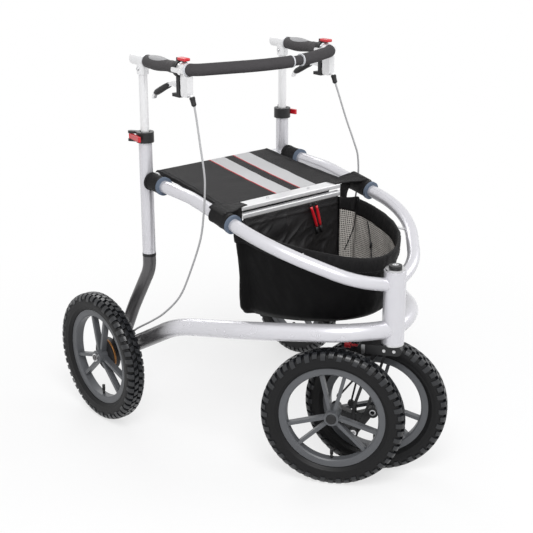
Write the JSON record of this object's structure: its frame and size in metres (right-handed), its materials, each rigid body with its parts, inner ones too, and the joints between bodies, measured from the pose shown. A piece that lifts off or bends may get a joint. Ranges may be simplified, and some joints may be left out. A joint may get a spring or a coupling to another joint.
{
  "type": "rollator",
  "caption": "All terrain rollator with a sling seat, a front bag, drum brakes and a swivelling front pair of staggered wheels on a rocker",
  "frame": {"origin": "on the floor, half way between the front and the rear tyres, on the centre line", "axes": "forward -Y, the user's left +X, up +Z"},
  "size_m": [0.754, 1.019, 1.01],
  "materials": {
    "frame_silver": "satin silver powder coat",
    "graphite_paint": "satin graphite coat",
    "black_coat": "black satin coat",
    "black_plastic": "moulded, matt",
    "bright_steel": "bare steel",
    "red_plastic": "moulded, semi gloss",
    "tyre_rubber": "matt rubber",
    "rim_composite": "glass-filled moulding",
    "foam": "closed-cell foam",
    "pale_plastic": "moulded, matt",
    "blue_foam": "foam ring",
    "black_cloth": "woven polyester"
  },
  "bodies": {
    "frame": {"head_tube": "frame_silver", "headset_races": "bright_steel", "top_tube_right": "frame_silver", "top_tube_left": "frame_silver", "lower_tube_right": "frame_silver", "lower_tube_left": "frame_silver", "upright_right": "frame_silver", "upright_left": "frame_silver", "lower_leg_right": "graphite_paint", "lower_leg_left": "graphite_paint", "rear_brackets": "graphite_paint", "seat_bars": "frame_silver", "small_fasteners": "bright_steel", "seat_panel": "black_cloth", "seat_sleeves": "black_cloth", "sleeve_rings": "blue_foam", "bag": "black_cloth", "bag_rim": "black_cloth", "zip_pulls": "red_plastic", "collars": "black_coat", "upright_rings": "black_plastic", "rear_axles": "bright_steel", "brake_plates": "black_plastic", "brake_cable_right": "pale_plastic", "brake_cable_left": "pale_plastic", "cable_stops": "black_plastic"},
    "cam_right": {"cam_lever_right": "red_plastic"},
    "cam_left": {"cam_lever_left": "red_plastic"},
    "handlebar": {"handlebar_tube": "frame_silver", "handle_legs": "frame_silver", "handle_elbows": "frame_silver", "foam_sleeves": "foam", "foam_rings": "pale_plastic", "grip_right": "foam", "grip_left": "foam", "brake_body_right": "frame_silver", "brake_body_left": "frame_silver"},
    "lever_right": {"brake_lever_right": "frame_silver"},
    "lever_left": {"brake_lever_left": "frame_silver"},
    "park_right": {"park_lever_right": "black_plastic"},
    "park_left": {"park_lever_left": "black_plastic"},
    "arm_right": {"brake_arm_right": "bright_steel"},
    "arm_left": {"brake_arm_left": "bright_steel"},
    "rear_wheel_right": {"rear_tyre_right": "tyre_rubber", "rear_rim_right": "rim_composite", "rear_drum_right": "black_plastic"},
    "rear_wheel_left": {"rear_tyre_left": "tyre_rubber", "rear_rim_left": "rim_composite", "rear_drum_left": "black_plastic"},
    "fork": {"fork_crown": "black_coat", "fork_blades": "black_coat", "fork_hardware": "bright_steel", "fork_stops": "black_coat"},
    "knob": {"lock_knob": "red_plastic"},
    "rocker": {"rocker": "black_coat", "front_axles": "bright_steel"},
    "front_wheel_right": {"front_tyre_right": "tyre_rubber", "front_rim_right": "rim_composite"},
    "front_wheel_left": {"front_tyre_left": "tyre_rubber", "front_rim_left": "rim_composite"}
  },
  "joints": [
    {"name": "fork_swivel", "type": "hinge", "parent": "frame", "child": "fork", "pos_m": [0, -0.4205, 0.46], "axis": [0, 0, 1], "continuous": true},
    {"name": "lock_pull", "type": "slide", "parent": "fork", "child": "knob", "axis": [-0.5976, 0.8018, 0], "range_m": [0, 0.008], "stiffness_N_per_m": 900, "springref_m": -0.002},
    {"name": "rocker_tilt", "type": "hinge", "parent": "fork", "child": "rocker", "pos_m": [-0.05259, -0.34995, 0.12], "axis": [0.8018, 0.5976, 0], "range_deg": [-10, 12], "stiffness_Nm_per_rad": 30},
    {"name": "front_roll_right", "type": "hinge", "parent": "rocker", "child": "front_wheel_right", "pos_m": [-0.12007, -0.34225, 0.178], "axis": [0.8018, 0.5976, 0], "continuous": true},
    {"name": "front_roll_left", "type": "hinge", "parent": "rocker", "child": "front_wheel_left", "pos_m": [0.01489, -0.35765, 0.178], "axis": [0.8018, 0.5976, 0], "continuous": true},
    {"name": "rear_roll_right", "type": "hinge", "parent": "frame", "child": "rear_wheel_right", "pos_m": [-0.351, 0.3315, 0.178], "axis": [1, 0, 0], "continuous": true},
    {"name": "rear_roll_left", "type": "hinge", "parent": "frame", "child": "rear_wheel_left", "pos_m": [0.351, 0.3315, 0.178], "axis": [1, 0, 0], "continuous": true},
    {"name": "handle_height", "type": "slide", "parent": "frame", "child": "handlebar", "axis": [0, 0, 1], "range_m": [-0.08, 0.06], "deforming": ["brake_cable_right", "brake_cable_left"]},
    {"name": "cam_right", "type": "hinge", "parent": "frame", "child": "cam_right", "pos_m": [-0.2555, 0.2915, 0.7855], "axis": [0, 0, -1], "range_deg": [0, 120]},
    {"name": "cam_left", "type": "hinge", "parent": "frame", "child": "cam_left", "pos_m": [0.2555, 0.2915, 0.7855], "axis": [0, 0, 1], "range_deg": [0, 120]},
    {"name": "squeeze_right", "type": "hinge", "parent": "handlebar", "child": "lever_right", "pos_m": [-0.234, 0.0765, 0.938], "axis": [1, 0, 0], "range_deg": [0, 14], "stiffness_Nm_per_rad": 4, "springref_deg": -5.16},
    {"name": "parking_right", "type": "hinge", "parent": "handlebar", "child": "park_right", "pos_m": [-0.234, 0.0955, 0.983], "axis": [1, 0, 0], "range_deg": [0, 6]},
    {"name": "drum_arm_right", "type": "hinge", "parent": "frame", "child": "arm_right", "pos_m": [-0.3178, 0.3215, 0.208], "axis": [1, 0, 0], "range_deg": [0, 6]},
    {"name": "squeeze_left", "type": "hinge", "parent": "handlebar", "child": "lever_left", "pos_m": [0.234, 0.0765, 0.938], "axis": [1, 0, 0], "range_deg": [0, 14], "stiffness_Nm_per_rad": 4, "springref_deg": -5.16},
    {"name": "parking_left", "type": "hinge", "parent": "handlebar", "child": "park_left", "pos_m": [0.234, 0.0955, 0.983], "axis": [1, 0, 0], "range_deg": [0, 6]},
    {"name": "drum_arm_left", "type": "hinge", "parent": "frame", "child": "arm_left", "pos_m": [0.3178, 0.3215, 0.208], "axis": [1, 0, 0], "range_deg": [0, 6]}
  ],
  "couplings": [
    {"joint": "drum_arm_right", "follows": "squeeze_right", "ratio": 0.4},
    {"joint": "drum_arm_left", "follows": "squeeze_left", "ratio": 0.4}
  ]
}
